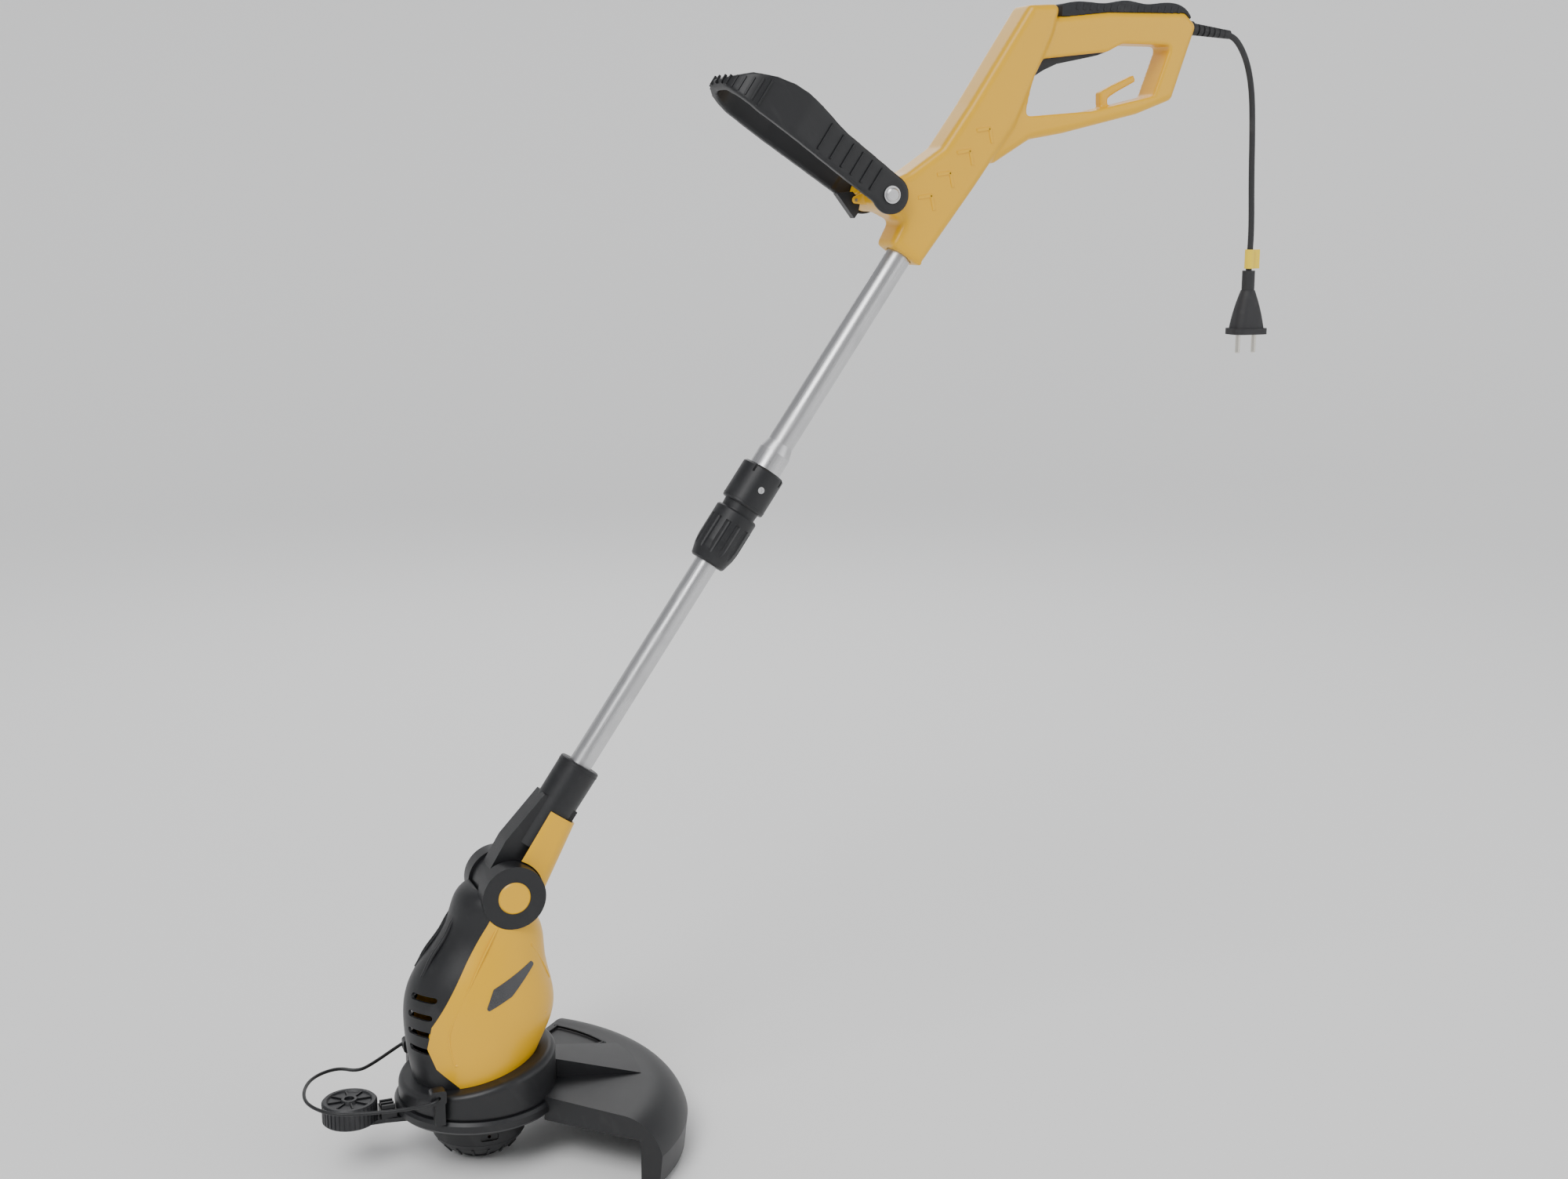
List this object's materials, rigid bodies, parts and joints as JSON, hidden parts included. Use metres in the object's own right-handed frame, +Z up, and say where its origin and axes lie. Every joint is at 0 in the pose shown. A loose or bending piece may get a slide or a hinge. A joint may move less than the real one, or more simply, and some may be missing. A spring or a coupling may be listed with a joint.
{
  "type": "string trimmer",
  "caption": "Corded string trimmer: telescoping shaft, D-shaped rear handle, tilting loop handle, swivelling motor head with bump-feed spool, debris guard, edging wheel and wire plant guard.",
  "frame": {"origin": "centre of the flat foot of the bump button, on the spool's axis", "axes": "+Z up along the spool's axis, +X to the rear towards the operator, +Y to the operator's right"},
  "size_m": [0.9914, 0.2852, 1.057],
  "materials": {
    "upper_tube": "brushed",
    "lower_tube": "brushed",
    "guide_bush": "moulded",
    "upper_collar": "fine grain",
    "collar_screw": "zinc",
    "clamp_collet": "moulded",
    "twist_sleeve": "fine grain",
    "neck_socket": "fine grain",
    "neck_cover": "satin",
    "head_front_shell": "fine grain",
    "head_rear_shell": "satin",
    "label_plate": "printed film, left plain",
    "tilt_button": "fine grain",
    "tilt_pin": "turned",
    "tilt_spring": "drawn wire",
    "motor_base": "fine grain",
    "field_stator": "laminated",
    "armature": "laminated, varnished",
    "commutator": "turned copper",
    "carbon_brushes": "pressed carbon",
    "motor_shaft": "ground",
    "lower_bearing": "polished",
    "upper_bearing": "polished",
    "bearing_plate": "die-cast",
    "upper_bearing_cup": "die-cast",
    "cooling_fan": "moulded",
    "spool_housing": "fine grain",
    "eyelets": "polished",
    "spool_cover": "fine grain",
    "bump_button": "worn fine grain",
    "spool": "moulded",
    "wound_line": "drawn nylon",
    "bump_spring": "drawn wire",
    "wheel_bracket": "fine grain",
    "wheel_axle": "turned",
    "edging_wheel": "ribbed",
    "plant_guard_wire": "dark coated wire",
    "wire_clips": "fine grain",
    "guard": "fine grain",
    "guard_screws": "zinc",
    "line_cutter": "ground edge",
    "rear_housing_left": "satin",
    "rear_housing_right": "satin",
    "housing_screws": "black zinc",
    "soft_grip": "soft touch",
    "trigger": "fine grain",
    "trigger_pin": "turned",
    "trigger_spring": "drawn wire",
    "switch_body": "moulded",
    "switch_plunger": "moulded",
    "loop_handle": "fine grain",
    "loop_bolt": "zinc",
    "latch_lever": "fine grain",
    "latch_pin": "turned",
    "strain_relief": "moulded",
    "mains_cord": "moulded",
    "cord_tag": "plain",
    "plug_body": "moulded",
    "plug_pins": "nickel plated"
  },
  "bodies": {
    "rear_handle": {"rear_housing_left": "rear_housing_left", "rear_housing_right": "rear_housing_right", "housing_screws": "housing_screws", "soft_grip": "soft_grip", "trigger_pin": "trigger_pin", "switch_body": "switch_body", "loop_bolt": "loop_bolt", "latch_pin": "latch_pin", "upper_tube": "upper_tube", "upper_collar": "upper_collar", "collar_screw": "collar_screw", "clamp_collet": "clamp_collet", "strain_relief": "strain_relief", "mains_cord": "mains_cord", "cord_tag": "cord_tag", "plug_body": "plug_body", "plug_pins": "plug_pins"},
    "trigger": {"trigger": "trigger", "trigger_spring": "trigger_spring"},
    "switch_plunger": {"switch_plunger": "switch_plunger"},
    "loop_handle": {"loop_handle": "loop_handle"},
    "latch_lever": {"latch_lever": "latch_lever"},
    "twist_sleeve": {"twist_sleeve": "twist_sleeve"},
    "tube_slider": {"guide_bush": "guide_bush"},
    "lower_shaft": {"lower_tube": "lower_tube", "neck_socket": "neck_socket", "neck_cover": "neck_cover"},
    "head": {"head_front_shell": "head_front_shell", "head_rear_shell": "head_rear_shell", "label_plate": "label_plate", "tilt_pin": "tilt_pin", "motor_base": "motor_base", "field_stator": "field_stator", "carbon_brushes": "carbon_brushes", "lower_bearing": "lower_bearing", "upper_bearing": "upper_bearing", "bearing_plate": "bearing_plate", "upper_bearing_cup": "upper_bearing_cup", "wheel_bracket": "wheel_bracket", "wheel_axle": "wheel_axle", "wire_clips": "wire_clips", "guard": "guard", "guard_screws": "guard_screws", "line_cutter": "line_cutter"},
    "tilt_button": {"tilt_button": "tilt_button", "tilt_spring": "tilt_spring"},
    "rotor": {"armature": "armature", "commutator": "commutator", "motor_shaft": "motor_shaft", "cooling_fan": "cooling_fan", "spool_housing": "spool_housing", "eyelets": "eyelets", "spool_cover": "spool_cover"},
    "bump_feed": {"bump_button": "bump_button", "spool": "spool", "wound_line": "wound_line", "bump_spring": "bump_spring"},
    "edging_wheel": {"edging_wheel": "edging_wheel"},
    "plant_guard": {"plant_guard_wire": "plant_guard_wire"}
  },
  "joints": [
    {"name": "trigger_squeeze", "type": "hinge", "parent": "rear_handle", "child": "trigger", "pos_m": [0.627, 0, 1.012], "axis": [0, 1, 0], "range_deg": [0, 8], "stiffness_Nm_per_rad": 1.5, "springref_deg": -20.05, "deforming": ["trigger_spring"]},
    {"name": "switch_press", "type": "slide", "parent": "rear_handle", "child": "switch_plunger", "axis": [0, 0, 1], "range_m": [0, 0.0038]},
    {"name": "loop_tilt", "type": "hinge", "parent": "rear_handle", "child": "loop_handle", "pos_m": [0.399, 0, 0.876], "axis": [0, 1, 0], "range_deg": [-40, 35]},
    {"name": "latch_press", "type": "hinge", "parent": "rear_handle", "child": "latch_lever", "pos_m": [0.3754, 0, 0.8713], "axis": [0, 1, 0], "range_deg": [0, 12], "stiffness_Nm_per_rad": 0.05, "springref_deg": -17.19},
    {"name": "sleeve_twist", "type": "hinge", "parent": "rear_handle", "child": "twist_sleeve", "pos_m": [0.24512, 0, 0.56395], "axis": [0.5693, 0, 0.8221], "range_deg": [0, 90]},
    {"name": "tube_slide", "type": "slide", "parent": "rear_handle", "child": "tube_slider", "axis": [0.5693, 0, 0.8221], "range_m": [0, 0.19]},
    {"name": "shaft_turn", "type": "hinge", "parent": "tube_slider", "child": "lower_shaft", "pos_m": [0.31514, 0, 0.66507], "axis": [0.5693, 0, 0.8221], "range_deg": [0, 180]},
    {"name": "head_tilt", "type": "hinge", "parent": "lower_shaft", "child": "head", "pos_m": [0.0305, 0, 0.254], "axis": [0, 1, 0], "range_deg": [-30, 30]},
    {"name": "tilt_button_push", "type": "slide", "parent": "head", "child": "tilt_button", "axis": [0, 1, 0], "range_m": [0, 0.003], "stiffness_N_per_m": 600, "springref_m": -0.003},
    {"name": "spool_spin", "type": "hinge", "parent": "head", "child": "rotor", "pos_m": [0, 0, 0.1], "axis": [0, 0, 1], "continuous": true},
    {"name": "bump_feed", "type": "slide", "parent": "rotor", "child": "bump_feed", "axis": [0, 0, 1], "range_m": [0, 0.004], "stiffness_N_per_m": 1500, "springref_m": -0.003},
    {"name": "wheel_spin", "type": "hinge", "parent": "head", "child": "edging_wheel", "pos_m": [-0.1185, 0, 0.06], "axis": [0, 0, 1], "continuous": true},
    {"name": "plant_guard_swing", "type": "hinge", "parent": "head", "child": "plant_guard", "pos_m": [-0.05, 0, 0.087], "axis": [0, 1, 0], "range_deg": [0, 75]}
  ],
  "couplings": [
    {"joint": "switch_press", "follows": "trigger_squeeze", "m_per_rad": 0.0269}
  ]
}
